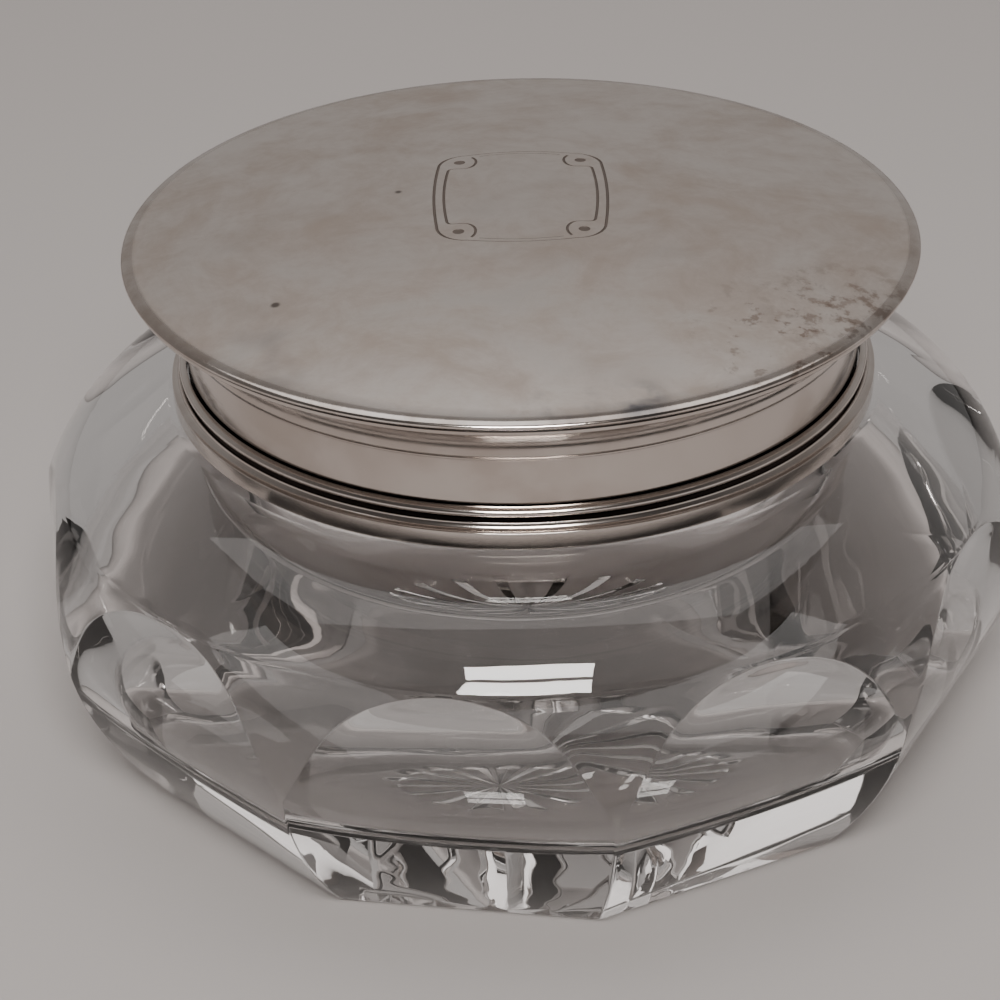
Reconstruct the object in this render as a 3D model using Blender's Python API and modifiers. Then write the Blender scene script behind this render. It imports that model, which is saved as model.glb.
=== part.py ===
"""Cut-glass dressing-table jar with a slip-on sheet-metal lid.

Sizes are metres; +Z is up and the origin is the centre of the foot.
"""
import math

import bmesh
import bpy

MM = 0.001

# Glass body
FOOT_TO_BELLY = 22.0 * MM        # height of the widest ring of the body
BELLY_RADIUS = 65.1 * MM
BELLY_CORE = 30.0 * MM           # inner radius the shoulder curve is built on
SHOULDER_RISE = 28.3 * MM        # height of the shoulder curve above the belly
SHOULDER_POWER = 2.7
LOWER_DROP = 44.0 * MM           # half height of the curve below the belly
SEAT_HEIGHT = 49.1 * MM          # flat ring the lid stands on
SEAT_RADIUS = 45.3 * MM          # outer edge of that ring
SEAT_BREAK = 0.1 * MM            # small bevel at the outer edge of the seat
NECK_RADIUS = 41.4 * MM
NECK_TOP = 63.5 * MM
NECK_BORE = 36.4 * MM
SEAT_FILLET = 0.8 * MM

# Panel cuts
PANEL_COUNT = 10
PANEL_APOTHEM = 62.6 * MM        # largest distance from the axis to a panel
PANEL_MID = 30.0 * MM            # height of that widest point
PANEL_CURVE = 36.4 * MM          # radius of the panels in side view at the widest point
PANEL_TURN = -9.4                # degrees the first panel is turned from the front

# Inside of the body
FLOOR_HEIGHT = 12.0 * MM
FLOOR_RADIUS = 28.0 * MM
CAVITY_RADIUS = 56.0 * MM
CAVITY_BELLY = 18.3 * MM
CAVITY_RISE = 16.2 * MM          # height of the inner shoulder curve above the belly
CAVITY_POWER = 2.2
CAVITY_REACH = 0.93              # share of the inner shoulder curve kept below the bore
BORE_START = 42.0 * MM           # height at which the straight bore of the neck begins

# Star cut under the base
STAR_RAYS = 16
STAR_RADIUS = 19.6 * MM
STAR_DEPTH = 1.5 * MM

# Lid
PLATE_RADIUS = 50.5 * MM
PLATE_EDGE = 68.3 * MM           # underside of the plate at its edge
PLATE_SHEET = 0.8 * MM
PLATE_DOME = 5.4 * MM            # rise of the dome from edge to centre
SKIRT_SHEET = 0.6 * MM
SKIRT_TOP = 68.0 * MM
SKIRT_TOP_RADIUS = 49.9 * MM
COVE_WIDTH = 5.9 * MM
COVE_HEIGHT = 6.9 * MM
STEP_WIDTH = 0.3 * MM
STEP_HEIGHT = 0.55 * MM
WALL_RADIUS = 43.1 * MM
SKIRT_FOOT = 49.9 * MM
JOINT_GAP = 0.3 * MM             # room left between pieces that touch
UPPER_BEAD_LOW = 52.95 * MM
UPPER_BEAD_HIGH = 54.35 * MM
UPPER_BEAD_RADIUS = 44.3 * MM
LOWER_BEAD_LOW = 49.4 * MM
LOWER_BEAD_HIGH = 52.65 * MM
LOWER_BEAD_LEDGE = 51.75 * MM
LOWER_BEAD_RADIUS = 45.3 * MM
LOWER_BEAD_SHOULDER = 44.3 * MM

SEGMENTS = 60
COLLECTION = "dressing_table_jar"


def clear_file():
    for obj in list(bpy.data.objects):
        bpy.data.objects.remove(obj, do_unlink=True)


def make_collection(name):
    coll = bpy.data.collections.new(name)
    bpy.context.scene.collection.children.link(coll)
    return coll


def make_material(name, colour, roughness, metallic, transmission=0.0):
    mat = bpy.data.materials.new(name)
    mat.use_nodes = True
    shader = mat.node_tree.nodes["Principled BSDF"]
    shader.inputs["Base Color"].default_value = (*colour, 1.0)
    shader.inputs["Roughness"].default_value = roughness
    shader.inputs["Metallic"].default_value = metallic
    shader.inputs["Transmission Weight"].default_value = transmission
    mat.diffuse_color = (*colour, 1.0)
    return mat


def arc(centre_r, centre_z, radius_r, radius_z, start, end, steps):
    """Points on an ellipse from one angle to another, in degrees."""
    points = []
    for i in range(steps + 1):
        angle = math.radians(start + (end - start) * i / steps)
        point_r = centre_r + radius_r * math.cos(angle)
        point_z = centre_z + radius_z * math.sin(angle)
        points.append((point_r, point_z))
    return points


def body_radius(height):
    """Radius of the round body at a height, before the panels are cut."""
    if height >= FOOT_TO_BELLY:
        share = (height - FOOT_TO_BELLY) / SHOULDER_RISE
        reach = (1.0 - share ** SHOULDER_POWER) ** (1.0 / SHOULDER_POWER)
        return BELLY_CORE + (BELLY_RADIUS - BELLY_CORE) * reach
    share = (FOOT_TO_BELLY - height) / LOWER_DROP
    return BELLY_CORE + (BELLY_RADIUS - BELLY_CORE) * math.sqrt(1.0 - share ** 2)


def panel_apothem(height):
    """Distance from the axis to a panel at a height."""
    return PANEL_APOTHEM - (height - PANEL_MID) ** 2 / (2.0 * PANEL_CURVE)


def cavity_radius(height):
    """Radius of the inside of the body above its widest ring."""
    share = (height - CAVITY_BELLY) / CAVITY_RISE
    reach = max(0.0, 1.0 - share ** CAVITY_POWER) ** (1.0 / CAVITY_POWER)
    return BELLY_CORE + (CAVITY_RADIUS - BELLY_CORE) * reach


def outside_points():
    """The outside of the glass from the lip down to the foot."""
    neck_wall = NECK_RADIUS - NECK_BORE
    lip = arc(NECK_BORE + neck_wall / 2, NECK_TOP - neck_wall / 4,
              neck_wall / 2, neck_wall / 4, 180, 0, 8)
    fillet = arc(NECK_RADIUS + SEAT_FILLET, SEAT_HEIGHT + SEAT_FILLET,
                 SEAT_FILLET, SEAT_FILLET, 180, 270, 3)
    shoulder_top = SEAT_HEIGHT - SEAT_BREAK
    shoulder = []
    rows = 16
    for i in range(rows + 1):
        turn = math.radians(90.0 * i / rows)
        height = FOOT_TO_BELLY + (shoulder_top - FOOT_TO_BELLY) * math.cos(turn)
        shoulder.append((body_radius(height), height))
    seat = [(SEAT_RADIUS, SEAT_HEIGHT)]
    lower = []
    for i in range(1, 7):
        height = FOOT_TO_BELLY * (1.0 - i / 6)
        lower.append((body_radius(height), height))
    return lip + fillet + seat + shoulder + lower


def inside_points():
    """The inside of the glass from the floor up to the bore."""
    points = [(0.0, FLOOR_HEIGHT)]
    points += arc(FLOOR_RADIUS, CAVITY_BELLY, CAVITY_RADIUS - FLOOR_RADIUS,
                  CAVITY_BELLY - FLOOR_HEIGHT, 270, 360, 10)
    rows = 10
    low = CAVITY_BELLY
    high = CAVITY_BELLY + CAVITY_RISE * CAVITY_REACH
    for i in range(1, rows + 1):
        height = low + (high - low) * math.sin(math.radians(90.0 * i / rows))
        points.append((cavity_radius(height), height))
    last_r, last_z = points[-1]
    blend_r = last_r - NECK_BORE
    blend_z = BORE_START - last_z
    points += arc(last_r, BORE_START, blend_r, blend_z, 270, 180, 6)[1:]
    return points


def spin_profile(name, points, segments, coll, mat, closed=False):
    """A round body spun from a profile in the XZ plane."""
    bm = bmesh.new()
    verts = [bm.verts.new((r, 0.0, z)) for r, z in points]
    for first, second in zip(verts, verts[1:]):
        bm.edges.new((first, second))
    if closed:
        bm.edges.new((verts[-1], verts[0]))
    mesh = bpy.data.meshes.new(name)
    bm.to_mesh(mesh)
    bm.free()
    obj = bpy.data.objects.new(name, mesh)
    coll.objects.link(obj)
    screw = obj.modifiers.new("spin", "SCREW")
    screw.steps = segments
    screw.render_steps = segments
    screw.angle = math.radians(360.0)
    screw.axis = "Z"
    screw.use_merge_vertices = True
    screw.merge_threshold = 0.00001
    screw.use_smooth_shade = False
    if mat is not None:
        mesh.materials.append(mat)
    return obj


def apply_modifiers(obj):
    """Keep the shape the modifiers make and drop the modifiers."""
    graph = bpy.context.evaluated_depsgraph_get()
    made = bpy.data.meshes.new_from_object(obj.evaluated_get(graph))
    obj.modifiers.clear()
    old = obj.data
    obj.data = made
    bpy.data.meshes.remove(old)
    bm = bmesh.new()
    bm.from_mesh(made)
    bmesh.ops.recalc_face_normals(bm, faces=bm.faces)
    bm.to_mesh(made)
    bm.free()


def turn_mesh(obj, degrees):
    """Turn the mesh about the vertical axis and leave the object untransformed."""
    bm = bmesh.new()
    bm.from_mesh(obj.data)
    angle = math.radians(degrees)
    for vert in bm.verts:
        x, y = vert.co.x, vert.co.y
        vert.co.x = x * math.cos(angle) - y * math.sin(angle)
        vert.co.y = x * math.sin(angle) + y * math.cos(angle)
    bm.to_mesh(obj.data)
    bm.free()


def make_panel_form(coll):
    """A ten-sided form, curved in side view, that the round body is cut to."""
    low = -4.0 * MM
    high = 66.0 * MM
    rows = 20
    points = [(0.0, high)]
    for i in range(rows + 1):
        height = high + (low - high) * i / rows
        points.append((panel_apothem(height) / math.cos(math.pi / PANEL_COUNT), height))
    points.append((0.0, low))
    form = spin_profile("panel_form", points, PANEL_COUNT, coll, None)
    apply_modifiers(form)
    half_panel = 180.0 / PANEL_COUNT
    turn_mesh(form, PANEL_TURN - 90.0 + half_panel)
    return form


def make_star_cutter(coll):
    """Rays of a star: ridges that rise and widen from the centre to blunt ends."""
    bm = bmesh.new()
    bmesh.ops.create_cone(bm, cap_ends=True, cap_tris=True, segments=2 * STAR_RAYS,
                          radius1=STAR_RADIUS, radius2=STAR_RADIUS, depth=4.0 * MM)
    for vert in bm.verts:
        if vert.co.z < 0.0:
            vert.co.z = -3.0 * MM
            continue
        if vert.co.xy.length < STAR_RADIUS / 2:
            vert.co.z = 0.05 * MM
            continue
        step = math.degrees(math.atan2(vert.co.y, vert.co.x)) / (180.0 / STAR_RAYS)
        on_ray = round(step) % 2 == 0
        vert.co.z = STAR_DEPTH if on_ray else -0.25 * STAR_DEPTH
    bmesh.ops.triangulate(bm, faces=bm.faces)
    bmesh.ops.recalc_face_normals(bm, faces=bm.faces)
    mesh = bpy.data.meshes.new("star_cutter")
    bm.to_mesh(mesh)
    bm.free()
    obj = bpy.data.objects.new("star_cutter", mesh)
    coll.objects.link(obj)
    return obj


def cut(obj, tool, operation):
    mod = obj.modifiers.new(tool.name, "BOOLEAN")
    mod.operation = operation
    mod.solver = "EXACT"
    mod.object = tool
    tool.hide_render = True
    tool.display_type = "WIRE"


def finish_mesh(obj, angle=12.0):
    """Shade the round faces smooth and keep the arrises sharp."""
    for poly in obj.data.polygons:
        poly.use_smooth = True
    obj.data.set_sharp_from_angle(angle=math.radians(angle))


def make_glass_jar(coll, cutters, mat):
    points = inside_points() + outside_points()
    points.append((0.0, 0.0))
    jar = spin_profile("glass_jar", points, SEGMENTS, coll, mat)
    apply_modifiers(jar)
    turn_mesh(jar, PANEL_TURN - 90.0)
    cut(jar, make_panel_form(cutters), "INTERSECT")
    cut(jar, make_star_cutter(cutters), "DIFFERENCE")
    return jar


def make_lid_top_plate(coll, mat):
    top_edge = PLATE_EDGE + PLATE_SHEET
    sphere = (PLATE_RADIUS ** 2 + PLATE_DOME ** 2) / (2.0 * PLATE_DOME)
    rim = PLATE_SHEET / 2
    reach = PLATE_RADIUS - rim
    rows = 10

    def dome(radius, lift):
        return lift + math.sqrt(sphere ** 2 - radius ** 2) - math.sqrt(sphere ** 2 - reach ** 2)

    points = []
    for i in range(rows + 1):
        radius = reach * i / rows
        points.append((radius, dome(radius, top_edge)))
    points += arc(reach, PLATE_EDGE + rim, rim, rim, 90, -90, 6)[1:]
    for i in range(1, rows + 1):
        radius = reach * (1.0 - i / rows)
        points.append((radius, dome(radius, PLATE_EDGE)))
    plate = spin_profile("lid_top_plate", points, SEGMENTS, coll, mat)
    return plate


def make_lid_skirt(coll, mat):
    cove_foot_r = SKIRT_TOP_RADIUS - COVE_WIDTH
    cove_foot_z = SKIRT_TOP - COVE_HEIGHT
    outer = arc(SKIRT_TOP_RADIUS, cove_foot_z, COVE_WIDTH, COVE_HEIGHT - SKIRT_SHEET, 90, 180, 10)
    first_r = cove_foot_r - (cove_foot_r - WALL_RADIUS) / 2
    outer.append((first_r, cove_foot_z - 0.05 * MM))
    outer.append((first_r, cove_foot_z - STEP_HEIGHT))
    outer.append((WALL_RADIUS, cove_foot_z - STEP_HEIGHT - 0.05 * MM))
    outer.append((WALL_RADIUS, SKIRT_FOOT))
    inner = [(WALL_RADIUS - SKIRT_SHEET, SKIRT_FOOT)]
    inner.append((WALL_RADIUS - SKIRT_SHEET, cove_foot_z - STEP_HEIGHT))
    inner += arc(SKIRT_TOP_RADIUS, cove_foot_z, COVE_WIDTH + SKIRT_SHEET * 1.8,
                 COVE_HEIGHT, 180, 90, 10)
    return spin_profile("lid_skirt", outer + inner, SEGMENTS, coll, mat, closed=True)


def make_lid_upper_bead(coll, mat):
    back = WALL_RADIUS + JOINT_GAP
    half = (UPPER_BEAD_HIGH - UPPER_BEAD_LOW) / 2
    points = arc(back, UPPER_BEAD_LOW + half, UPPER_BEAD_RADIUS - back, half, 90, -90, 8)
    return spin_profile("lid_upper_bead", points, SEGMENTS, coll, mat, closed=True)


def make_lid_lower_bead(coll, mat):
    back = WALL_RADIUS + JOINT_GAP
    foot_round = 0.35 * MM
    points = [(back, LOWER_BEAD_HIGH)]
    points += arc(LOWER_BEAD_RADIUS, LOWER_BEAD_HIGH, LOWER_BEAD_RADIUS - LOWER_BEAD_SHOULDER,
                  LOWER_BEAD_HIGH - LOWER_BEAD_LEDGE, 180, 270, 5)
    points += arc(LOWER_BEAD_RADIUS - foot_round, LOWER_BEAD_LOW + foot_round,
                  foot_round, foot_round, 0, -90, 4)
    points.append((back, LOWER_BEAD_LOW))
    return spin_profile("lid_lower_bead", points, SEGMENTS, coll, mat, closed=True)


def build():
    clear_file()
    parts = make_collection(COLLECTION)
    cutters = make_collection("cutters")
    glass = make_material("clear_glass", (0.86, 0.87, 0.87), 0.02, 0.0, 1.0)
    satin = make_material("satin_silver", (0.60, 0.58, 0.55), 0.38, 1.0)
    polished = make_material("polished_silver", (0.72, 0.70, 0.67), 0.16, 1.0)
    upper = make_material("upper_bead_silver", (0.68, 0.66, 0.62), 0.2, 1.0)
    lower = make_material("lower_bead_silver", (0.66, 0.64, 0.60), 0.22, 1.0)

    jar = make_glass_jar(parts, cutters, glass)
    plate = make_lid_top_plate(parts, satin)
    skirt = make_lid_skirt(parts, polished)
    upper_bead = make_lid_upper_bead(parts, upper)
    lower_bead = make_lid_lower_bead(parts, lower)

    apply_modifiers(jar)
    finish_mesh(jar)
    for piece in (plate, skirt, upper_bead, lower_bead):
        apply_modifiers(piece)
        finish_mesh(piece)


build()
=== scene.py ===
"""Cut-glass dressing-table jar with a slip-on silver lid: the finished surfaces and the stage.

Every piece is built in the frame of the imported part, in metres, with +Z up.
"""
import math

import bmesh
import bpy
from bpy.props import FloatProperty, FloatVectorProperty, IntProperty, PointerProperty
from mathutils import Matrix, Vector


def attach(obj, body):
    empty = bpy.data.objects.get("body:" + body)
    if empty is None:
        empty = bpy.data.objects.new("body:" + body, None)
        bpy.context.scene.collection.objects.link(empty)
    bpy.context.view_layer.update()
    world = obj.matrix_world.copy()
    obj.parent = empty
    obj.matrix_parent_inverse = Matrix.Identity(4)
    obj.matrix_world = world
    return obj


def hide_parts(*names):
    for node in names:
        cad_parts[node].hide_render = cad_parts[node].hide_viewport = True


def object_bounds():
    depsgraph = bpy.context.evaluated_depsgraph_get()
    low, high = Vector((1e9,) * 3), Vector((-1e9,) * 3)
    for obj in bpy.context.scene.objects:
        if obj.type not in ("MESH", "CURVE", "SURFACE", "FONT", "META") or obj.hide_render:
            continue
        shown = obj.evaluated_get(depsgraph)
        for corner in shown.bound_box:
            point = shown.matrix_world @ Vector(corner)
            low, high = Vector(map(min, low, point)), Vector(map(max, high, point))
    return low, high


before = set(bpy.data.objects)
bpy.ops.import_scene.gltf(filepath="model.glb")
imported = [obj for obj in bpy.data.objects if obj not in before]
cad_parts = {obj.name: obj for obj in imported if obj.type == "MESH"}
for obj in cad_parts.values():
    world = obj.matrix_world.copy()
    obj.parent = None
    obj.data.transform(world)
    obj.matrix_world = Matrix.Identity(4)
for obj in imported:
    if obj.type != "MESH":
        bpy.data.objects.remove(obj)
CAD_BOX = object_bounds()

bl_info = {
    "name": "Dressing-table Jar",
    "version": (1, 0, 0),
    "blender": (4, 5, 0),
    "location": "3D View > Sidebar > Jar",
    "description": "Builds a cut-glass jar with a slip-on silver lid around its packed frame",
    "category": "Object",
}

MM = 0.001
ORIGIN = (0.0, 0.0, 0.0)

# Mesh of the glass
COLUMNS = 320                 # columns round the glass: a multiple of the panels and the star rays
HALF_COLUMNS = 16             # parts that half a panel is divided into
FACE_COLUMNS = 9              # of those, how many lie on the flat of the panel cut
ARRIS_COLUMNS = 11            # and where the rounded edge of the cut ends
EDGE_EASE = 0.22 * MM         # half width of the rounded edge, as an arc at the belly
NARROW_ARC = math.radians(0.9)    # the cut is never treated as narrower than this
ROW_GAP = 0.02 * MM           # a row of the mesh closer than this to the last is left out
SEAT_BREAK = 0.1 * MM         # the shoulder starts this far below the seat
SEAT_FILLET = 0.8 * MM        # fillet between the seat and the neck
GROOVE_SHARE = 0.8            # share of a ray's width that its groove takes

# Mesh of the lid
LID_COLUMNS = 256
STEP_BITE = 0.08 * MM         # rounding of the fine steps of the skirt
FOOT_ROUND = 0.3 * MM         # rounding at the foot of the wall
BAND_FOOT_ROUND = 0.35 * MM
LEDGE_ROUND = 0.1 * MM
COVE_BACK = 1.8               # sheet thicknesses between the two faces of the cove

# Engraving
LINE_RADIUS = 0.10 * MM       # radius of the tube that cuts a line
FINE_RADIUS = 0.08 * MM
OUTER_BOLD = 2.0              # how much thicker the outer line is where it runs upright
INNER_BOLD = 1.9
HOOK_BEND = 0.7 * MM
HOOK_SHIFT = 0.6 * MM         # the hook's centre lies this far inside the dot
HOOK_WIDE = 1.55 * MM
HOOK_TALL = 2.1 * MM
LEVEL_END = 2.6 * MM          # the thin level lines stop this far short of the dots
DOT_FOOT = 0.72 * MM
DOT_MOUTH = 0.98 * MM
DOT_DEPTH = 0.36 * MM
DOT_LIFT = 0.1 * MM           # the middle of the cutting cone above the plate

# Places of the marks on the lid: X, Y and, where there is a third number, the size, in millimetres
SPECKS = (40.0, -25.5)
RIM_SPECKS = (34.0, -33.0)
SMUDGES = ((4.5, -47.0, 4.5), (13.0, -46.0, 4.0))
STREAK = (-31.0, -35.5)
SMALL_MARKS = ((-29.6, -23.3, 0.30), (-15.3, 2.8, 0.15))

# Tones of the tarnish on the metal; the last is tarnish mixed with painted shade for the hollows
WARM_TARNISH = (0.36, 0.28, 0.23)
BROWN_SPECK = (0.16, 0.10, 0.07)
BLUE_SMUDGE = (0.12, 0.125, 0.145)
TAUPE_STREAK = (0.25, 0.20, 0.18)
DARK_MARK = (0.06, 0.045, 0.04)
# tarnish and painted shade, laid into the creases and grooves of the polished silver by ambient
# occlusion
HOLLOW_TARNISH_AND_SHADE = (0.125, 0.10, 0.09)

# Studio
LIT_POINT = (0.0, -0.06, 0.042)      # where the window light lands on the shoulder
WINDOW_REACH = 1.1
WINDOW_WIDTH = 0.45
WINDOW_PANES = (("window_high", 50.0, 0.19), ("window_low", 39.8, 0.12))
WARM_LIGHT = (1.0, 0.97, 0.94)
CEILING_PLACE = (0.0, 0.2, 1.3)
CEILING_TONE = (1.0, 0.97, 0.95)
ROOM_LEAN = (0.0, 0.6, -0.5)         # the room grows lighter this way
ROOM_DARK_END, ROOM_LIGHT_END = -0.55, 0.35
CAMERA_PLACE = (0.0, -0.36741, 0.24459)
CAMERA_LENS = 115.2
CAMERA_YAW, CAMERA_PITCH, CAMERA_ROLL = -0.00942, 0.52867, -0.02762


# ---------------------------------------------------------------- settings

def length(name, description, default):
    return FloatProperty(name=name, description=description, default=default,
                         subtype="DISTANCE", unit="LENGTH")


def colour(name, description, default):
    return FloatVectorProperty(name=name, description=description, default=default,
                               size=3, min=0.0, max=1.0, subtype="COLOR")


class GlassSettings(bpy.types.PropertyGroup):
    belly_height: length("Belly height", "Height of the widest ring", 22.0 * MM)
    belly_radius: length("Belly radius", "Radius of the widest ring", 65.1 * MM)
    core_radius: length("Core radius", "Radius the shoulder curve is built on", 30.0 * MM)
    shoulder_rise: length("Shoulder rise", "Height of the shoulder curve", 28.3 * MM)
    shoulder_power: FloatProperty(name="Shoulder power", description="Fullness of the shoulder",
                                  default=2.7)
    lower_drop: length("Lower drop", "Half height of the curve below the belly", 44.0 * MM)
    seat_height: length("Seat height", "Height of the flat ring the lid stands on", 49.1 * MM)
    seat_radius: length("Seat radius", "Outer radius of the flat ring", 45.6 * MM)
    neck_radius: length("Neck radius", "Outside radius of the neck", 41.4 * MM)
    neck_bore: length("Neck bore", "Inside radius of the neck", 36.4 * MM)
    neck_top: length("Neck top", "Height of the lip", 63.5 * MM)
    panels: IntProperty(name="Panels", description="Panel cuts round the body", default=10)
    panel_apothem: length("Panel apothem", "Largest distance from the axis to a panel", 62.6 * MM)
    panel_mid: length("Panel middle", "Height of that widest point", 30.0 * MM)
    panel_curve: length("Panel curve", "Radius of a panel in side view", 36.4 * MM)
    panel_turn: FloatProperty(name="Panel turn", description="Turn of the first panel in degrees",
                              default=-9.4)
    floor_height: length("Floor height", "Thickness of the glass base", 12.0 * MM)
    floor_radius: length("Floor radius", "Radius of the flat floor inside", 28.0 * MM)
    cavity_radius: length("Cavity radius", "Largest inside radius", 56.0 * MM)
    cavity_belly: length("Cavity belly", "Height of the largest inside radius", 18.3 * MM)
    cavity_rise: length("Cavity rise", "Height of the inner shoulder curve", 16.2 * MM)
    cavity_power: FloatProperty(name="Cavity power", description="Fullness of the inner shoulder",
                                default=2.2)
    cavity_reach: FloatProperty(name="Cavity reach", default=0.93,
                                description="Share of the inner shoulder kept below the bore")
    bore_start: length("Bore start", "Height where the straight bore begins", 42.0 * MM)
    star_rays: IntProperty(name="Star rays", description="Rays of the star under the base",
                           default=16)
    star_radius: length("Star radius", "Reach of the rays", 19.6 * MM)
    star_depth: length("Star depth", "Depth of a ray at its outer end", 1.5 * MM)
    arris: length("Arris rounding", "Softening of the cut edges", 0.16 * MM)
    tint: colour("Tint", "Colour of the clear glass", (0.985, 0.968, 0.962))


class LidSettings(bpy.types.PropertyGroup):
    plate_radius: length("Plate radius", "Radius of the top plate", 50.5 * MM)
    plate_edge: length("Plate edge", "Underside of the plate at its edge", 68.3 * MM)
    plate_sheet: length("Plate sheet", "Thickness of the top plate", 0.8 * MM)
    plate_dome: length("Plate dome", "Rise of the dome", 5.4 * MM)
    rim_roll: length("Rim roll", "Width of the rolled edge of the plate", 1.7 * MM)
    skirt_sheet: length("Skirt sheet", "Thickness of the skirt", 0.6 * MM)
    skirt_top: length("Skirt top", "Height of the skirt's flange", 68.0 * MM)
    skirt_top_radius: length("Flange radius", "Radius of the skirt's flange", 49.9 * MM)
    cove_width: length("Cove width", "Width of the hollow moulding", 5.9 * MM)
    cove_height: length("Cove height", "Height of the hollow moulding", 6.9 * MM)
    step_height: length("Step height", "Height of the fine step", 0.55 * MM)
    wall_radius: length("Wall radius", "Outside radius of the wall", 43.1 * MM)
    skirt_foot: length("Skirt foot", "Lower edge of the wall", 49.9 * MM)
    joint_gap: length("Joint gap", "Room between pieces that touch", 0.3 * MM)
    upper_low: length("Upper bead foot", "Lower edge of the upper bead", 52.95 * MM)
    upper_high: length("Upper bead top", "Upper edge of the upper bead", 54.35 * MM)
    upper_radius: length("Upper bead radius", "Outside radius of the upper bead", 44.3 * MM)
    lower_low: length("Lower band foot", "Lower edge of the lower band", 49.4 * MM)
    lower_high: length("Lower band top", "Upper edge of the lower band", 52.65 * MM)
    lower_ledge: length("Lower band ledge", "Height of the band's ledge", 51.75 * MM)
    lower_radius: length("Lower band radius", "Outside radius of the lower band", 45.3 * MM)
    lower_shoulder: length("Lower band shoulder", "Radius where the ledge begins", 44.3 * MM)
    frame_width: length("Frame half width", "Half width of the engraved frame", 10.5 * MM)
    frame_height: length("Frame half height", "Half height of the engraved frame", 12.7 * MM)
    frame_corner: length("Frame corner", "Corner radius of the frame", 3.8 * MM)
    frame_bow: length("Frame bow", "How far the frame's sides bow out", 0.75 * MM)
    frame_gap: length("Frame gap", "Room between the frame's two lines", 1.25 * MM)
    frame_shift_x: length("Frame shift X", "Place of the frame on the lid", 0.2 * MM)
    frame_shift_y: length("Frame shift Y", "Place of the frame on the lid", 0.7 * MM)
    dot_place: length("Dot place", "Distance of the dots from the frame's middle", 7.8 * MM)
    dot_height: length("Dot height", "Distance of the dots above or below the middle", 10.35 * MM)
    silver: colour("Silver", "Colour of the clean metal", (0.69, 0.645, 0.61))
    tarnish: colour("Tarnish", "Colour of the light tarnish", (0.42, 0.35, 0.305))


class StageSettings(bpy.types.PropertyGroup):
    floor_gap: length("Floor gap", "Air between the foot and the floor", 0.15 * MM)
    floor: colour("Floor", "Colour of the floor", (0.42, 0.395, 0.385))
    room_dark: colour("Dark room", "Tone of the room over the viewer", (0.12, 0.11, 0.105))
    room_light: colour("Light room", "Tone of the room behind the jar", (0.62, 0.59, 0.57))
    sky: FloatProperty(name="Fill light", description="Strength of the surrounding light",
                       default=0.6)
    window: FloatProperty(name="Window light", description="Strength of the window light in watts",
                          default=15.5)
    ceiling: FloatProperty(name="Ceiling light", default=7.5,
                           description="Strength of the broad light overhead in watts")


# ---------------------------------------------------------------- mesh helpers

def arc(centre_r, centre_z, radius_r, radius_z, start, end, steps):
    """Points on an ellipse from one angle to another, in degrees."""
    points = []
    for i in range(steps + 1):
        angle = math.radians(start + (end - start) * i / steps)
        point_r = centre_r + radius_r * math.cos(angle)
        point_z = centre_z + radius_z * math.sin(angle)
        points.append((point_r, point_z))
    return points


def smoothstep(low, high, value):
    """Rises from 0 at low to 1 at high, with no corners."""
    share = min(1.0, max(0.0, (value - low) / (high - low)))
    return share * share * (3.0 - 2.0 * share)


def soft_min(first, second, width):
    """The smaller of two values, rounded where they cross."""
    if abs(first - second) >= width:
        return min(first, second)
    lap = width - abs(first - second)
    return min(first, second) - lap * lap / (4.0 * width)


def spin(points, columns, closed):
    """A round bmesh spun from a profile of (radius, height) points."""
    bm = bmesh.new()
    verts = [bm.verts.new((r, 0.0, z)) for r, z in points]
    edges = [bm.edges.new(pair) for pair in zip(verts, verts[1:])]
    if closed:
        edges.append(bm.edges.new((verts[-1], verts[0])))
    bmesh.ops.spin(bm, geom=verts + edges, cent=(0.0, 0.0, 0.0), axis=(0.0, 0.0, 1.0),
                   angle=math.tau, steps=columns, use_merge=True)
    bmesh.ops.remove_doubles(bm, verts=bm.verts, dist=0.000001)
    bmesh.ops.recalc_face_normals(bm, faces=bm.faces)
    return bm


def finish_piece(bm, name, node, body, material):
    """Turns a bmesh into a named piece that stands for a CAD node."""
    mesh = bpy.data.meshes.new(name)
    bm.to_mesh(mesh)
    bm.free()
    piece = bpy.data.objects.new(name, mesh)
    bpy.context.scene.collection.objects.link(piece)
    mesh.materials.append(material)
    mesh.shade_smooth()
    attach(piece, body)
    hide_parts(node)
    return piece


def even_shading(piece):
    """Keeps flat faces flat beside their narrow rounded edges."""
    mod = piece.modifiers.new("even_shading", "WEIGHTED_NORMAL")
    mod.mode = "FACE_AREA"
    mod.weight = 80
    mod.keep_sharp = True


# ---------------------------------------------------------------- material helpers

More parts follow.
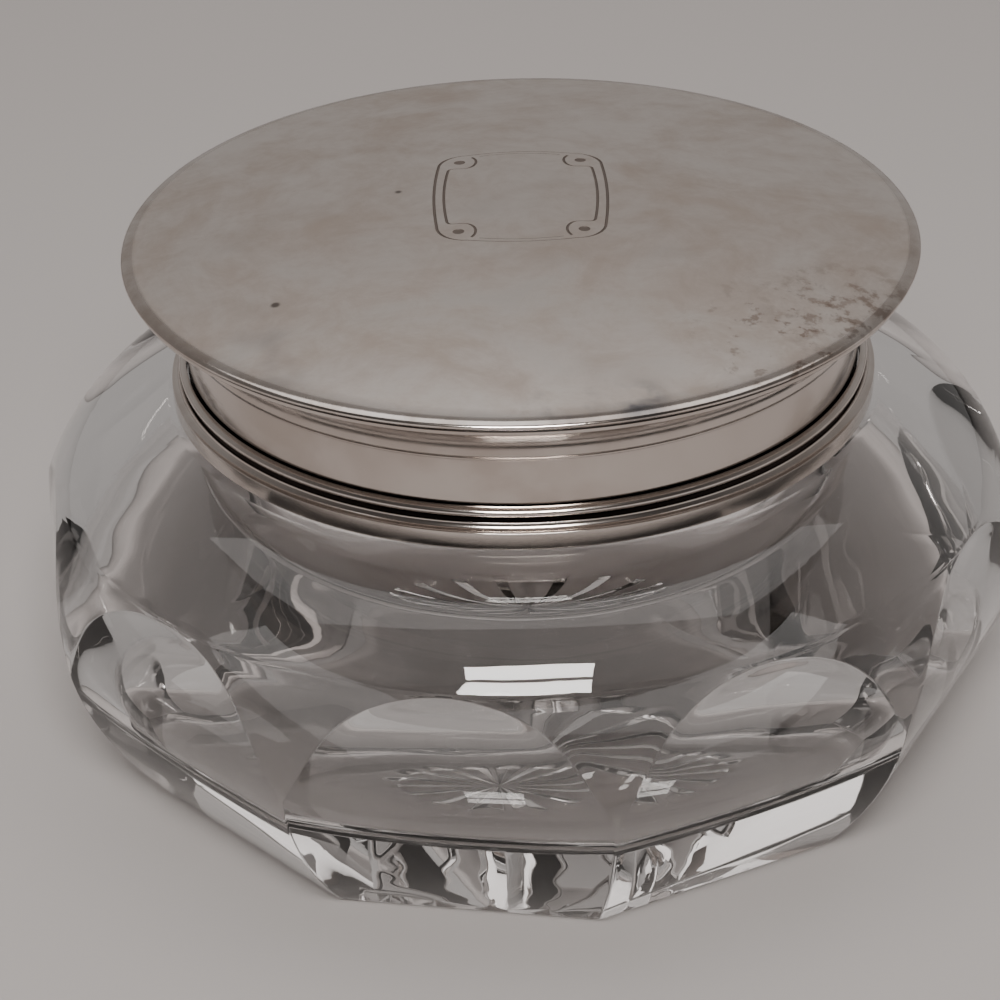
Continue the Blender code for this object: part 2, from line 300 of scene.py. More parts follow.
class Nodes:
    """Short way to wire a material's nodes."""

    def __init__(self, name):
        self.material = bpy.data.materials.new(name)
        self.material.use_nodes = True
        self.tree = self.material.node_tree
        self.shader = self.tree.nodes["Principled BSDF"]
        self.place = self.add("ShaderNodeTexCoord").outputs["Object"]

    def add(self, kind, **settings):
        node = self.tree.nodes.new(kind)
        for key, value in settings.items():
            setattr(node, key, value)
        return node

    def link(self, source, target):
        self.tree.links.new(source, target)

    def noise(self, scale, detail=4.0, roughness=0.55, distortion=0.0, place=None):
        node = self.add("ShaderNodeTexNoise")
        node.inputs["Scale"].default_value = scale
        node.inputs["Detail"].default_value = detail
        node.inputs["Roughness"].default_value = roughness
        node.inputs["Distortion"].default_value = distortion
        self.link(place or self.place, node.inputs["Vector"])
        return node.outputs["Fac"]

    def stretch(self, scale, location=(0.0, 0.0, 0.0)):
        node = self.add("ShaderNodeMapping")
        node.inputs["Scale"].default_value = scale
        node.inputs["Location"].default_value = location
        self.link(self.place, node.inputs["Vector"])
        return node.outputs["Vector"]

    def ramp(self, source, low, high, first=0.0, last=1.0):
        node = self.add("ShaderNodeMapRange")
        node.interpolation_type = "SMOOTHSTEP"
        limits = {"From Min": low, "From Max": high, "To Min": first, "To Max": last}
        for key, value in limits.items():
            node.inputs[key].default_value = value
        self.link(source, node.inputs["Value"])
        return node.outputs["Result"]

    def math(self, operation, first, second):
        node = self.add("ShaderNodeMath", operation=operation)
        for socket, value in zip(node.inputs, (first, second)):
            if isinstance(value, (int, float)):
                socket.default_value = value
            else:
                self.link(value, socket)
        return node.outputs["Value"]

    def mix(self, share, first, second):
        node = self.add("ShaderNodeMix", data_type="RGBA")
        if isinstance(share, (int, float)):
            node.inputs["Factor"].default_value = share
        else:
            self.link(share, node.inputs["Factor"])
        for key, value in (("A", first), ("B", second)):
            socket = [s for s in node.inputs if s.name == key and s.type == "RGBA"][0]
            if isinstance(value, tuple):
                socket.default_value = (*value, 1.0)
            else:
                self.link(value, socket)
        return [s for s in node.outputs if s.type == "RGBA"][0]

    def spot(self, centre, radius, soft):
        """1 inside a round spot, falling to 0 over its soft edge."""
        node = self.add("ShaderNodeVectorMath", operation="DISTANCE")
        self.link(self.place, node.inputs[0])
        node.inputs[1].default_value = centre
        return self.ramp(node.outputs["Value"], radius, radius + soft, 1.0, 0.0)

    def bump(self, height, distance, strength=1.0, before=None):
        node = self.add("ShaderNodeBump")
        node.inputs["Strength"].default_value = strength
        node.inputs["Distance"].default_value = distance
        self.link(height, node.inputs["Height"])
        if before is not None:
            self.link(before, node.inputs["Normal"])
        return node.outputs["Normal"]

    def set(self, name, value):
        socket = self.shader.inputs[name]
        if hasattr(value, "is_output"):
            self.link(value, socket)
        else:
            socket.default_value = value


def clear_glass(settings):
    """Thick clear glass, fire-polished, with faint ripples and a light film of dust."""
    n = Nodes("clear_cut_glass")
    film = n.ramp(n.noise(45.0, 5.0, 0.6), 0.5, 0.75)
    n.set("Base Color", n.mix(film, tuple(settings.tint), tuple(c * 0.975 for c in settings.tint)))
    n.set("Roughness", n.ramp(n.noise(160.0, 3.0), 0.45, 0.8, 0.0, 0.035))
    n.set("Transmission Weight", 1.0)
    n.set("IOR", 1.52)
    ripple = n.noise(70.0, 1.0, 0.4, place=n.stretch((1.0, 1.0, 1.6)))
    n.set("Normal", n.bump(ripple, 0.0004, 0.25))
    return n.material


def on_plate(settings, place):
    """The point of the plate's upper face at X and Y in millimetres."""
    x, y = place[0] * MM, place[1] * MM
    return (x, y, plate_height(settings, math.hypot(x, y)))


def satin_silver(settings):
    """Dull satin plate with mottled tarnish, brown specks, a smudge and small marks."""
    n = Nodes("satin_tarnished_silver")
    silver, tarnish = tuple(settings.silver), tuple(settings.tarnish)
    broad = n.noise(34.0, 6.0, 0.66, 0.7)
    fine = n.noise(150.0, 6.0, 0.68, 0.4)
    mottle = n.math("ADD", n.math("MULTIPLY", broad, 0.6), n.math("MULTIPLY", fine, 0.4))
    base = n.mix(n.ramp(mottle, 0.36, 0.64, 0.05, 0.85), silver, tarnish)
    warm = n.ramp(n.noise(48.0, 3.0, 0.6, 0.5, place=n.stretch((1.0, 1.6, 1.0))), 0.52, 0.74)
    base = n.mix(n.math("MULTIPLY", warm, 0.25), base, WARM_TARNISH)
    specks = n.math("MULTIPLY", n.ramp(n.noise(300.0, 4.0, 0.65), 0.50, 0.62),
                    n.spot(on_plate(settings, SPECKS), 0.003, 0.012))
    base = n.mix(n.math("MULTIPLY", specks, 0.6), base, BROWN_SPECK)
    rim_specks = n.math("MULTIPLY", n.ramp(n.noise(420.0, 4.0, 0.65), 0.56, 0.66),
                        n.spot(on_plate(settings, RIM_SPECKS), 0.004, 0.016))
    base = n.mix(n.math("MULTIPLY", rim_specks, 0.6), base, BROWN_SPECK)
    for x, y, reach in SMUDGES:
        cloud = n.math("MULTIPLY", n.ramp(n.noise(110.0, 4.0, 0.6), 0.38, 0.60),
                       n.spot(on_plate(settings, (x, y)), 0.001, reach * MM))
        base = n.mix(n.math("MULTIPLY", cloud, 0.85), base, BLUE_SMUDGE)
    streak = n.math("MULTIPLY", n.ramp(n.noise(90.0, 3.0, 0.5), 0.40, 0.60),
                    n.spot(on_plate(settings, STREAK), 0.003, 0.007))
    base = n.mix(n.math("MULTIPLY", streak, 0.5), base, TAUPE_STREAK)
    for x, y, size in SMALL_MARKS:
        mark = n.spot(on_plate(settings, (x, y)), size * MM, 0.0005)
        base = n.mix(n.math("MULTIPLY", mark, 0.8), base, DARK_MARK)
    n.set("Base Color", base)
    n.set("Metallic", 1.0)
    centre = (0.0, 0.0, settings.plate_edge)
    inside_rim = n.spot(centre, settings.plate_radius - settings.rim_roll, 0.6 * MM)
    satin = n.ramp(mottle, 0.3, 0.7, 0.22, 0.40)
    n.set("Roughness", n.math("ADD", n.math("MULTIPLY", inside_rim, satin), 0.14))
    dents = n.bump(n.noise(22.0, 2.0, 0.5), 0.0006, 0.25)
    grain = n.bump(n.noise(900.0, 3.0, 0.7), 0.00002, 0.5, dents)
    n.set("Normal", grain)
    return n.material


def polished_silver(settings, name, roughness, darkness):
    """Polished silver with faint drawn lines, and tarnish with painted shade in its hollows."""
    n = Nodes(name)
    silver, tarnish = tuple(settings.silver), tuple(settings.tarnish)
    clouds = n.noise(60.0, 4.0, 0.6, 0.4)
    base = n.mix(n.ramp(clouds, 0.4, 0.7, 0.05 + darkness, 0.4 + darkness), silver, tarnish)
    # painted shade: ambient occlusion darkens the creases and grooves towards a dark tarnish tone
    hollow = n.add("ShaderNodeAmbientOcclusion", samples=4)
    hollow.inputs["Distance"].default_value = 0.0016
    shade = n.ramp(hollow.outputs["AO"], 0.25, 0.85, 0.9, 0.0)
    base = n.mix(shade, base, HOLLOW_TARNISH_AND_SHADE)
    n.set("Base Color", base)
    n.set("Metallic", 1.0)
    n.set("Roughness", n.ramp(clouds, 0.35, 0.7, roughness, roughness + 0.08))
    lines = n.noise(40.0, 2.0, 0.5, place=n.stretch((1.0, 1.0, 40.0)))
    dents = n.bump(n.noise(45.0, 2.0, 0.5), 0.0003, 0.2)
    n.set("Normal", n.bump(lines, 0.00002, 0.15, dents))
    return n.material


def dark_patina():
    """Dark oxide left in the engraved lines."""
    n = Nodes("engraving_patina")
    shade = n.noise(500.0, 3.0)
    n.set("Base Color", n.mix(shade, (0.055, 0.042, 0.036), (0.11, 0.088, 0.075)))
    n.set("Metallic", 0.2)
    n.set("Roughness", n.ramp(shade, 0.3, 0.7, 0.55, 0.7))
    return n.material


# ---------------------------------------------------------------- the glass

class GlassShape:
    """Radii of the glass at any height and angle."""

    def __init__(self, s):
        self.s = s
        self.half_panel = math.pi / s.panels
        self.arch_top = self.find_arch_top()

    def round_radius(self, height):
        s = self.s
        reach = s.belly_radius - s.core_radius
        if height >= s.belly_height:
            share = (height - s.belly_height) / s.shoulder_rise
            power = s.shoulder_power
            return s.core_radius + reach * (1.0 - share ** power) ** (1 / power)
        share = (s.belly_height - height) / s.lower_drop
        return s.core_radius + reach * math.sqrt(1.0 - share ** 2)

    def apothem(self, height):
        s = self.s
        return s.panel_apothem - (height - s.panel_mid) ** 2 / (2.0 * s.panel_curve)

    def find_arch_top(self):
        low, high = self.s.panel_mid, self.s.seat_height
        for _ in range(40):
            middle = (low + high) / 2
            if self.apothem(middle) < self.round_radius(middle):
                low = middle
            else:
                high = middle
        return low

    def radius(self, height, angle):
        """Radius of the cut body; the angle is measured from the middle of a panel."""
        s = self.s
        near = self.apothem(height) / math.cos(angle)
        far = self.apothem(height) / math.cos(2 * self.half_panel - angle)
        cut = soft_min(near, far, s.arris)
        return soft_min(self.round_radius(height), cut, s.arris)

    def column_angle(self, height, share):
        """Angle of a column that keeps a row of mesh edges on the edge of the panel cut."""
        half = self.half_panel
        even = half * (FACE_COLUMNS + 1) / HALF_COLUMNS
        ease = EDGE_EASE / self.s.belly_radius
        ratio = self.apothem(height) / self.round_radius(height)
        edge = math.acos(min(1.0, ratio))
        edge = min(half - 2.2 * ease, max(NARROW_ARC, edge))
        if height > self.arch_top:
            above = smoothstep(0.0, 7.0 * MM, height - self.arch_top)
            edge = NARROW_ARC + (even - NARROW_ARC) * above
        column = share * HALF_COLUMNS
        if column <= FACE_COLUMNS:
            return (edge - ease) * column / FACE_COLUMNS
        if column <= ARRIS_COLUMNS:
            return edge + ease * (column - FACE_COLUMNS - 1)
        past = (column - ARRIS_COLUMNS) / (HALF_COLUMNS - ARRIS_COLUMNS)
        return edge + ease + (half - edge - ease) * past

    def outside_rows(self):
        """Heights of the rows from the shoulder down to the foot."""
        s = self.s
        top = s.seat_height - SEAT_BREAK
        heights = set()
        for i in range(41):
            heights.add(s.belly_height + (top - s.belly_height) * math.cos(math.pi * i / 80))
        kept = [h for h in heights if abs(h - self.arch_top) > 0.45 * MM]
        kept += [self.arch_top - 0.03 * MM * k * k for k in range(0, 6)]
        kept += [self.arch_top + 0.08 * MM, self.arch_top + 0.4 * MM]
        kept += [s.belly_height * (1.0 - i / 24) for i in range(1, 24)]
        kept += [0.35 * MM, 0.12 * MM]
        kept = sorted(kept, reverse=True)
        rows = [kept[0]]
        for height in kept[1:]:
            if rows[-1] - height > ROW_GAP:
                rows.append(height)
        return rows


def glass_points(shape):
    """Profile of the glass from the floor inside, over the lip, to the middle of the base."""
    s = shape.s
    wide = s.cavity_radius - s.floor_radius
    points = [(s.floor_radius * i / 6, s.floor_height) for i in range(6)]
    deep = s.cavity_belly - s.floor_height
    points += arc(s.floor_radius, s.cavity_belly, wide, deep, 270, 360, 24)
    high = s.cavity_rise * s.cavity_reach
    for i in range(1, 25):
        height = high * math.sin(math.radians(90.0 * i / 24))
        reach = (1.0 - (height / s.cavity_rise) ** s.cavity_power) ** (1 / s.cavity_power)
        radius = s.core_radius + (s.cavity_radius - s.core_radius) * reach
        points.append((radius, s.cavity_belly + height))
    last_r, last_z = points[-1]
    blend_r = last_r - s.neck_bore
    blend_z = s.bore_start - last_z
    points += arc(last_r, s.bore_start, blend_r, blend_z, 270, 180, 12)[1:]
    points += [(s.neck_bore, s.bore_start + (s.neck_top - s.bore_start) * k) for k in (0.3, 0.6)]
    wall = s.neck_radius - s.neck_bore
    points += arc(s.neck_bore + wall / 2, s.neck_top - wall / 4, wall / 2, wall / 4, 180, 0, 16)
    points += [(s.neck_radius, s.seat_height + 7.0 * MM), (s.neck_radius, s.seat_height + 3.0 * MM)]
    points += arc(s.neck_radius + SEAT_FILLET, s.seat_height + SEAT_FILLET,
                  SEAT_FILLET, SEAT_FILLET, 180, 270, 6)
    rows = shape.outside_rows()
    edge_r = shape.round_radius(rows[0])
    points += [(s.seat_radius - 1.2 * MM, s.seat_height), (edge_r - 0.7 * MM, s.seat_height)]
    points += [(shape.round_radius(height), height) for height in rows]
    return points


def base_shares(shape):
    """Shares of the foot's radius at which the rings of the base lie."""
    s = shape.s
    star = s.star_radius / shape.apothem(0.0)
    shares = [0.997] + [1.0 - (1.0 - star) * i / 7 for i in range(1, 7)]
    shares += [star * 1.012]
    shares += [star * (12 - i) / 12 for i in range(12)]
    return shares


def on_foot(shape, ring, share, even, ray_share):
    """Angle, radius and lift of a point of the base, from the star out to the ten-sided foot."""
    s = shape.s
    star = s.star_radius / shape.apothem(0.0)
    blend = smoothstep(star * 1.05, 1.0, ring)
    angle = even + (shape.column_angle(0.0, share) - even) * blend
    edge = shape.radius(0.0, angle)
    reach = ring * (shape.apothem(0.0) + (edge - shape.apothem(0.0)) * blend)
    if ring > 0.99:
        reach -= 0.08 * MM
    lift = 0.0
    if ring <= star * 1.0001:
        lift = max(0.0, s.star_depth * (ring / star) * (1.0 - ray_share / GROOVE_SHARE))
    return angle, reach, lift


def cut_glass(bm, shape):
    """Moves the spun body's points out to the panels, the foot and the star."""
    s = shape.s
    step = math.tau / COLUMNS
    per_half = COLUMNS // (2 * s.panels)
    per_ray = COLUMNS // (2 * s.star_rays)
    foot = shape.round_radius(0.0)
    top_row = s.seat_height - SEAT_BREAK + 0.001 * MM
    turn = math.radians(s.panel_turn - 90.0)
    for vert in bm.verts:
        radius = vert.co.xy.length
        height = vert.co.z
        column = round(math.atan2(vert.co.y, vert.co.x) / step)
        place = (column + per_half) % (2 * per_half) - per_half
        side = -1 if place < 0 else 1
        panel_middle = (column - place) * step
        share = abs(place) / per_half
        on_base = height < 0.00001 * MM
        body = shape.round_radius(max(0.0, min(height, top_row)))
        outer = radius > body - 0.01 * MM
        if on_base:
            ray_share = abs((column + per_ray) % (2 * per_ray) - per_ray) / per_ray
            even = abs(place) * step
            angle, reach, lift = on_foot(shape, radius / foot, share, even, ray_share)
            theta = panel_middle + side * angle
            vert.co = (reach * math.cos(theta), reach * math.sin(theta), lift)
        elif outer and height < top_row:
            angle = shape.column_angle(height, share)
            reach = shape.radius(height, angle)
            if height < 0.3 * MM:
                reach -= 0.03 * MM
            theta = panel_middle + side * angle
            vert.co.x = reach * math.cos(theta)
            vert.co.y = reach * math.sin(theta)
    bmesh.ops.rotate(bm, verts=bm.verts, cent=ORIGIN, matrix=Matrix.Rotation(turn, 3, "Z"))


class JAR_OT_glass(bpy.types.Operator):
    """Build the cut-glass body with its panels, foot and star"""
    bl_idname = "jar.glass"
    bl_label = "Glass Jar"

    def execute(self, context):
        s = context.scene.jar_glass
        shape = GlassShape(s)
        foot = shape.round_radius(0.0)
        points = glass_points(shape)
        points += [(foot * share, 0.0) for share in base_shares(shape)]
        points.append((0.0, 0.0))
        bm = spin(points, COLUMNS, closed=False)
        cut_glass(bm, shape)
        material = clear_glass(s)
        piece = finish_piece(bm, "cut_glass_body", "glass_jar", "jar", material)
        even_shading(piece)
        return {"FINISHED"}


# ---------------------------------------------------------------- the lid

def plate_height(s, radius):
    """Height of the top plate's upper face."""
    sphere = (s.plate_radius ** 2 + s.plate_dome ** 2) / (2.0 * s.plate_dome)
    reach = s.plate_radius - s.plate_sheet / 2
    edge = s.plate_edge + s.plate_sheet
    return edge + math.sqrt(sphere ** 2 - radius ** 2) - math.sqrt(sphere ** 2 - reach ** 2)


def bowed(start, end, bow, steps):
    """Points of a slightly bowed line; the bow pushes its middle away from the centre."""
    points = []
    for i in range(steps + 1):
        share = i / steps
        x = start[0] + (end[0] - start[0]) * share
        y = start[1] + (end[1] - start[1]) * share
        swell = 4.0 * share * (1.0 - share)
        points.append((x + bow[0] * swell, y + bow[1] * swell))
    return points


def outer_line(s):
    """The outer line of the frame, closed, with round corners and bowed sides."""
    wide, tall, corner = s.frame_width, s.frame_height, s.frame_corner
    path = []
    for sign_x, sign_y, start in ((1, 1, 0), (-1, 1, 90), (-1, -1, 180), (1, -1, 270)):
        centre_x = sign_x * (wide - corner)
        centre_y = sign_y * (tall - corner)
        path += arc(centre_x, centre_y, corner, corner, start, start + 90, 8)
        if sign_x == sign_y:
            end = (-path[-1][0], path[-1][1])
            path += bowed(path[-1], end, (0.0, sign_y * s.frame_bow), 14)[1:-1]
        else:
            end = (path[-1][0], -path[-1][1])
            path += bowed(path[-1], end, (sign_x * s.frame_bow * 0.6, 0.0), 14)[1:-1]
    return path


def inner_upright(s, sign_x):
    """One inner upright, which turns in at both ends and hooks round the corner dots."""
    x = s.frame_width - s.frame_gap
    turn = s.dot_height - HOOK_TALL
    end = turn - HOOK_BEND
    hook = arc(x - HOOK_BEND, end, HOOK_BEND, HOOK_BEND, 0, 90, 4)
    hook += arc(s.dot_place - HOOK_SHIFT, s.dot_height, HOOK_WIDE, HOOK_TALL, 270, 130, 10)
    side = bowed((x, -end), (x, end), (s.frame_bow * 0.6, 0.0), 12)[1:-1]
    path = [(px, -py) for px, py in reversed(hook)] + side + hook
    return [(sign_x * px, py) for px, py in path]


def inner_level(s, sign_y):
    """One thin inner line along the top or bottom, between the hooks."""
    reach = s.dot_place - LEVEL_END
    y = s.frame_height - s.frame_gap * 0.35
    path = bowed((-reach, y), (reach, y), (0.0, s.frame_bow * 0.75), 14)
    return [(px, sign_y * py) for px, py in path]


def groove(bm, s, path, radius, bold, cyclic):
    """Adds a thin tube along a path on the plate, bolder where the line is upright."""
    curve = bpy.data.curves.new("groove", "CURVE")
    curve.dimensions = "3D"
    curve.bevel_depth = radius
    curve.bevel_resolution = 1
    curve.use_fill_caps = not cyclic
    line = curve.splines.new("POLY")
    line.points.add(len(path) - 1)
    for i, point in enumerate(line.points):
        before = path[i - 1] if i or cyclic else path[0]
        after = path[(i + 1) % len(path)] if cyclic or i + 1 < len(path) else path[-1]
        run = math.hypot(after[0] - before[0], after[1] - before[1])
        upright = abs(after[1] - before[1]) / run
        x = path[i][0] + s.frame_shift_x
        y = path[i][1] + s.frame_shift_y
        point.co = (x, y, plate_height(s, math.hypot(x, y)) + radius * 0.25, 1.0)
        point.radius = 1.0 + (bold - 1.0) * smoothstep(0.3, 0.95, upright)
    line.use_cyclic_u = cyclic
    holder = bpy.data.objects.new("groove", curve)
    bpy.context.scene.collection.objects.link(holder)
    bpy.context.view_layer.update()
    graph = bpy.context.evaluated_depsgraph_get()
    mesh = bpy.data.meshes.new_from_object(holder.evaluated_get(graph))
    bpy.data.objects.remove(holder)
    bpy.data.curves.remove(curve)
    bm.from_mesh(mesh)
    bpy.data.meshes.remove(mesh)


def dot(bm, s, sign_x, sign_y):
    """Adds a shallow oval dot in a corner of the frame."""
    x = sign_x * s.dot_place + s.frame_shift_x
    y = sign_y * s.dot_height + s.frame_shift_y
    height = plate_height(s, math.hypot(x, y)) + DOT_LIFT
    place = Matrix.Translation((x, y, height)) @ Matrix.Diagonal((0.95, 0.85, 1.0, 1.0))
    bmesh.ops.create_cone(bm, cap_ends=True, segments=24, radius1=DOT_FOOT, radius2=DOT_MOUTH,
                          depth=DOT_DEPTH, matrix=place)


def engrave(plate, s, material):
    """Cuts the frame, its hooked corners and their dots into the plate."""
    bm = bmesh.new()
    groove(bm, s, outer_line(s), LINE_RADIUS, OUTER_BOLD, cyclic=True)
    for sign in (-1, 1):
        groove(bm, s, inner_upright(s, sign), LINE_RADIUS, INNER_BOLD, cyclic=False)
        groove(bm, s, inner_level(s, sign), FINE_RADIUS, 1.0, cyclic=False)
        for side in (-1, 1):
            dot(bm, s, side, sign)
    bmesh.ops.remove_doubles(bm, verts=bm.verts, dist=0.000001)
    bmesh.ops.recalc_face_normals(bm, faces=bm.faces)
    mesh = bpy.data.meshes.new("engraving_tool")
    bm.to_mesh(mesh)
    bm.free()
    mesh.materials.append(material)
    tool = bpy.data.objects.new("engraving_tool", mesh)
    bpy.context.scene.collection.objects.link(tool)
    mod = plate.modifiers.new("engraving", "BOOLEAN")
    mod.operation = "DIFFERENCE"
    mod.solver = "EXACT"
    mod.material_mode = "TRANSFER"
    mod.object = tool
    bpy.context.view_layer.update()
    graph = bpy.context.evaluated_depsgraph_get()
    cut = bpy.data.meshes.new_from_object(plate.evaluated_get(graph))
    plate.modifiers.clear()
    old = plate.data
    plate.data = cut
    bpy.data.meshes.remove(old)
    bpy.data.objects.remove(tool)
    bpy.data.meshes.remove(mesh)


class JAR_OT_top_plate(bpy.types.Operator):
    """Build the domed top plate with its rolled edge and engraved frame"""
    bl_idname = "jar.top_plate"
    bl_label = "Lid Top Plate"

    def execute(self, context):
        s = context.scene.jar_lid
        rim = s.plate_sheet / 2
        reach = s.plate_radius - rim
        roll_start = s.plate_radius - s.rim_roll
        rows = 36
        spans = [roll_start * i / rows for i in range(rows + 1)]
        points = [(span, plate_height(s, span)) for span in spans]
        middle = s.plate_edge + rim
        roll_rise = points[-1][1] - middle
        points += arc(roll_start, middle, s.rim_roll, roll_rise, 90, 0, 12)[1:]
        points += arc(reach, middle, rim, rim, 0, -90, 6)[1:]
        for i in range(1, 13):
            radius = reach * (1.0 - i / 12)
            points.append((radius, plate_height(s, radius) - s.plate_sheet))
        bm = spin(points, LID_COLUMNS, closed=False)
        piece = finish_piece(bm, "domed_top_plate", "lid_top_plate", "lid",
                             satin_silver(s))
        engrave(piece, s, dark_patina())
        piece.data.set_sharp_from_angle(angle=math.radians(30.0))
        return {"FINISHED"}


class JAR_OT_skirt(bpy.types.Operator):
    """Build the skirt with its hollow moulding, fine steps and wall"""
    bl_idname = "jar.skirt"
    bl_label = "Lid Skirt"

    def execute(self, context):
        s = context.scene.jar_lid
        foot_r = s.skirt_top_radius - s.cove_width
        foot_z = s.skirt_top - s.cove_height
        middle = (foot_r + s.wall_radius) / 2
        bite = STEP_BITE
        points = arc(s.skirt_top_radius - bite, s.skirt_top - s.skirt_sheet / 2,
                     bite, s.skirt_sheet / 2, 90, -90, 6)
        points += arc(s.skirt_top_radius - bite, foot_z, s.cove_width - bite,
                      s.cove_height - s.skirt_sheet, 90, 180, 28)[1:]
        for step, radius in enumerate((middle, s.wall_radius), start=1):
            low = foot_z - step * s.step_height
            high = points[-1][1]
            points += arc(radius + bite, high - bite, bite, bite, 90, 180, 3)
            points += [(radius, low + bite)]
            points += arc(radius - bite, low + bite, bite, bite, 0, -90, 3)[1:]
        points = points[:-4]
        points += [(s.wall_radius, z) for z in (58.0 * MM, 56.0 * MM, 54.0 * MM, 52.0 * MM)]
        points += arc(s.wall_radius - FOOT_ROUND, s.skirt_foot + FOOT_ROUND,
                      FOOT_ROUND, FOOT_ROUND, 0, -180, 8)
        inside = s.wall_radius - s.skirt_sheet
        points += [(inside, 54.0 * MM), (inside, foot_z - s.step_height)]
        points += arc(s.skirt_top_radius, foot_z, s.cove_width + s.skirt_sheet * COVE_BACK,
                      s.cove_height, 180, 90, 20)
        bm = spin(points, LID_COLUMNS, closed=True)
        material = polished_silver(s, "polished_skirt_silver", 0.10, 0.30)
        piece = finish_piece(bm, "moulded_skirt", "lid_skirt", "lid", material)
        even_shading(piece)
        return {"FINISHED"}


class JAR_OT_beads(bpy.types.Operator):
    """Build the upper bead and the stepped lower band"""
    bl_idname = "jar.beads"
    bl_label = "Lid Beads"

    def execute(self, context):
        s = context.scene.jar_lid
        back = s.wall_radius + s.joint_gap
        half = (s.upper_high - s.upper_low) / 2
        points = arc(back, s.upper_low + half, s.upper_radius - back, half, 90, -90, 20)
        bm = spin(points, LID_COLUMNS, closed=True)
        slot = "upper_bead_silver"
        material = polished_silver(s, slot, 0.12, 0.15)
        upper = finish_piece(bm, "upper_bead", "lid_upper_bead", "lid", material)
        upper.data.set_sharp_from_angle(angle=math.radians(50.0))
        rounding = BAND_FOOT_ROUND
        points = [(back, s.lower_high)]
        points += arc(s.lower_radius, s.lower_high, s.lower_radius - s.lower_shoulder,
                      s.lower_high - s.lower_ledge, 180, 262, 12)
        points += arc(s.lower_radius - LEDGE_ROUND, s.lower_ledge - LEDGE_ROUND,
                      LEDGE_ROUND, LEDGE_ROUND, 90, 0, 3)
        points += arc(s.lower_radius - rounding, s.lower_low + rounding,
                      rounding, rounding, 0, -90, 8)
        points.append((back, s.lower_low))
        bm = spin(points, LID_COLUMNS, closed=True)
        material = polished_silver(s, "lower_band_silver", 0.12, 0.20)
        slot = "lower_bead_silver"
        lower = finish_piece(bm, "lower_band", "lid_lower_bead", "lid", material)
        even_shading(lower)
        return {"FINISHED"}


# ---------------------------------------------------------------- the stage

def stage_material(settings):
    """Plain matt floor with a faint unevenness of tone."""
    n = Nodes("pale_floor")
    soft = n.noise(9.0, 2.0)
    tone = tuple(settings.floor)
    n.set("Base Color", n.mix(soft, tone, tuple(c * 0.985 for c in tone)))
    n.set("Roughness", 0.9)
    n.set("Specular IOR Level", 0.2)
    return n.material


def area_light(name, location, target, width, height, power, tone):
    """A soft rectangular light that faces a point."""
    data = bpy.data.lights.new(name, "AREA")
    data.shape = "RECTANGLE"
    data.size = width
    data.size_y = height
    data.energy = power
    data.color = tone
    lamp = bpy.data.objects.new(name, data)
    bpy.context.scene.collection.objects.link(lamp)
    lamp.location = location
    aim = Vector(target) - Vector(location)
    lamp.rotation_euler = aim.to_track_quat("-Z", "Y").to_euler()
    return lamp


def camera_turn():
    """The camera's rotation from its yaw, its downward pitch and its roll."""
    level = math.cos(CAMERA_PITCH)
    ahead = Vector((math.sin(CAMERA_YAW) * level, math.cos(CAMERA_YAW) * level,
                    -math.sin(CAMERA_PITCH)))
    right = Vector((math.cos(CAMERA_YAW), -math.sin(CAMERA_YAW), 0.0))
    above = right.cross(ahead)
    across = right * math.cos(CAMERA_ROLL) + above * math.sin(CAMERA_ROLL)
    upward = above * math.cos(CAMERA_ROLL) - right * math.sin(CAMERA_ROLL)
    return Matrix((across, upward, -ahead)).transposed().to_4x4()


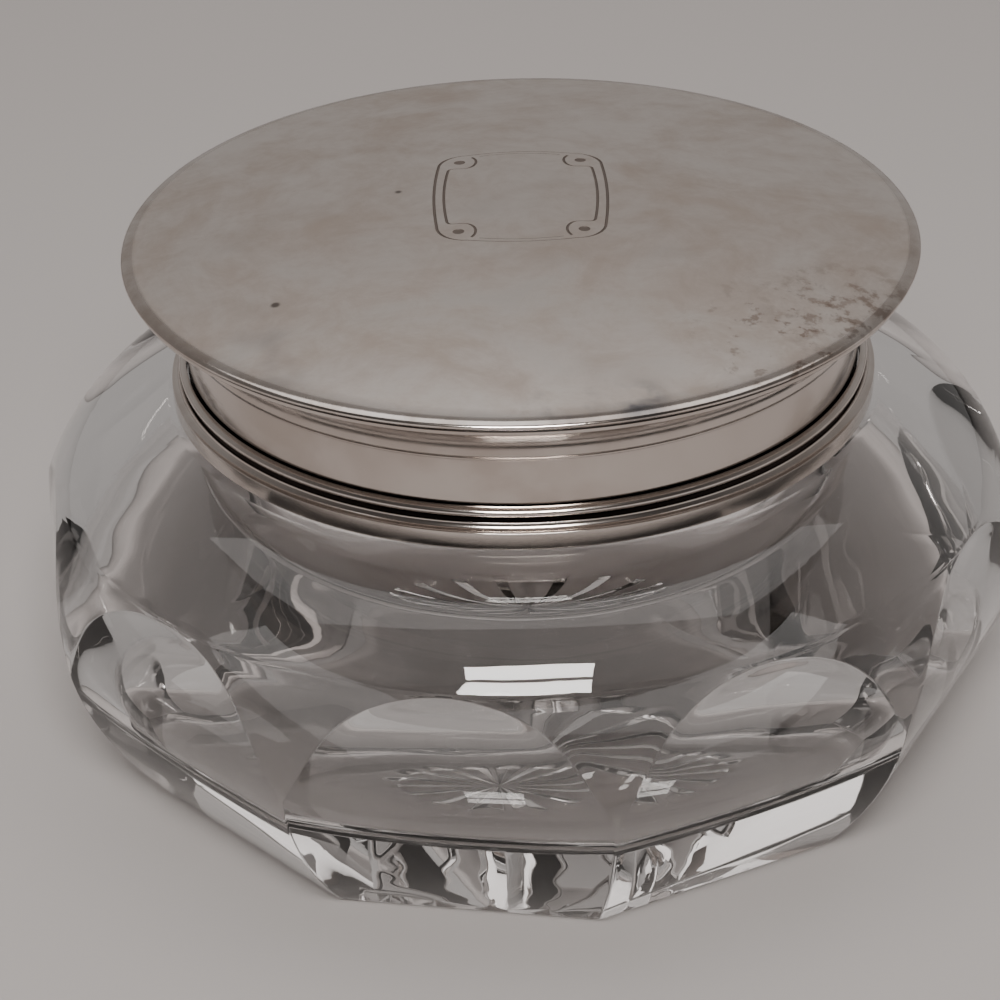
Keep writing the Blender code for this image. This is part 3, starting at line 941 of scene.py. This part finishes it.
class JAR_OT_stage(bpy.types.Operator):
    """Set the floor, the soft lights and the camera"""
    bl_idname = "jar.stage"
    bl_label = "Stage"

    def execute(self, context):
        s = context.scene.jar_stage
        bm = bmesh.new()
        drop = Matrix.Translation((0.0, 0.0, CAD_BOX[0][2] - s.floor_gap))
        bmesh.ops.create_grid(bm, x_segments=8, y_segments=8, size=3.0, matrix=drop)
        mesh = bpy.data.meshes.new("floor")
        bm.to_mesh(mesh)
        bm.free()
        mesh.materials.append(stage_material(s))
        floor = bpy.data.objects.new("floor", mesh)
        context.scene.collection.objects.link(floor)

        world = bpy.data.worlds.new("soft_room")
        world.use_nodes = True
        tree = world.node_tree
        back = tree.nodes["Background"]
        place = tree.nodes.new("ShaderNodeTexCoord")
        lean = tree.nodes.new("ShaderNodeVectorMath")
        lean.operation = "DOT_PRODUCT"
        lean.inputs[1].default_value = ROOM_LEAN
        ramp = tree.nodes.new("ShaderNodeMapRange")
        ramp.inputs["From Min"].default_value = ROOM_DARK_END
        ramp.inputs["From Max"].default_value = ROOM_LIGHT_END
        tone = tree.nodes.new("ShaderNodeMix")
        tone.data_type = "RGBA"
        dark, light = [socket for socket in tone.inputs if socket.type == "RGBA"]
        dark.default_value = (*s.room_dark, 1.0)
        light.default_value = (*s.room_light, 1.0)
        tree.links.new(place.outputs["Generated"], lean.inputs[0])
        tree.links.new(lean.outputs["Value"], ramp.inputs["Value"])
        tree.links.new(ramp.outputs["Result"], tone.inputs["Factor"])
        mixed = [socket for socket in tone.outputs if socket.type == "RGBA"][0]
        tree.links.new(mixed, back.inputs["Color"])
        back.inputs["Strength"].default_value = s.sky
        context.scene.world = world

        panes = sum(high for name, rise, high in WINDOW_PANES)
        for name, rise, high in WINDOW_PANES:
            angle = math.radians(rise)
            reach = Vector((0.0, -math.cos(angle), math.sin(angle))) * WINDOW_REACH
            power = s.window * high / panes
            place = tuple(Vector(LIT_POINT) + reach)
            area_light(name, place, LIT_POINT, WINDOW_WIDTH, high, power, WARM_LIGHT)
        area_light("ceiling", CEILING_PLACE, ORIGIN, 1.8, 1.0, s.ceiling, CEILING_TONE)

        data = bpy.data.cameras.new("camera")
        data.sensor_width = 36.0
        data.lens = CAMERA_LENS
        data.clip_start = 0.01
        camera = bpy.data.objects.new("camera", data)
        context.scene.collection.objects.link(camera)
        camera.matrix_world = Matrix.Translation(CAMERA_PLACE) @ camera_turn()
        context.scene.camera = camera
        return {"FINISHED"}


# ---------------------------------------------------------------- panel and registration

class JAR_PT_panel(bpy.types.Panel):
    """Buttons that build the jar piece by piece"""
    bl_idname = "JAR_PT_panel"
    bl_label = "Dressing-table Jar"
    bl_space_type = "VIEW_3D"
    bl_region_type = "UI"
    bl_category = "Jar"

    def draw(self, context):
        layout = self.layout
        for operator in OPERATORS:
            layout.operator(operator.bl_idname)
        for name in GROUPS:
            box = layout.box()
            settings = getattr(context.scene, name)
            for key in settings.__annotations__:
                box.prop(settings, key)


GROUPS = {"jar_glass": GlassSettings, "jar_lid": LidSettings, "jar_stage": StageSettings}
OPERATORS = (JAR_OT_glass, JAR_OT_top_plate, JAR_OT_skirt, JAR_OT_beads, JAR_OT_stage)


def register():
    for name, group in GROUPS.items():
        bpy.utils.register_class(group)
        setattr(bpy.types.Scene, name, PointerProperty(type=group))
    for cls in (*OPERATORS, JAR_PT_panel):
        bpy.utils.register_class(cls)


def unregister():
    for cls in (JAR_PT_panel, *reversed(OPERATORS)):
        bpy.utils.unregister_class(cls)
    for name, group in GROUPS.items():
        delattr(bpy.types.Scene, name)
        bpy.utils.unregister_class(group)


def main():
    register()
    bpy.ops.jar.glass()
    bpy.ops.jar.top_plate()
    bpy.ops.jar.skirt()
    bpy.ops.jar.beads()
    bpy.ops.jar.stage()


if __name__ == "__main__":
    main()
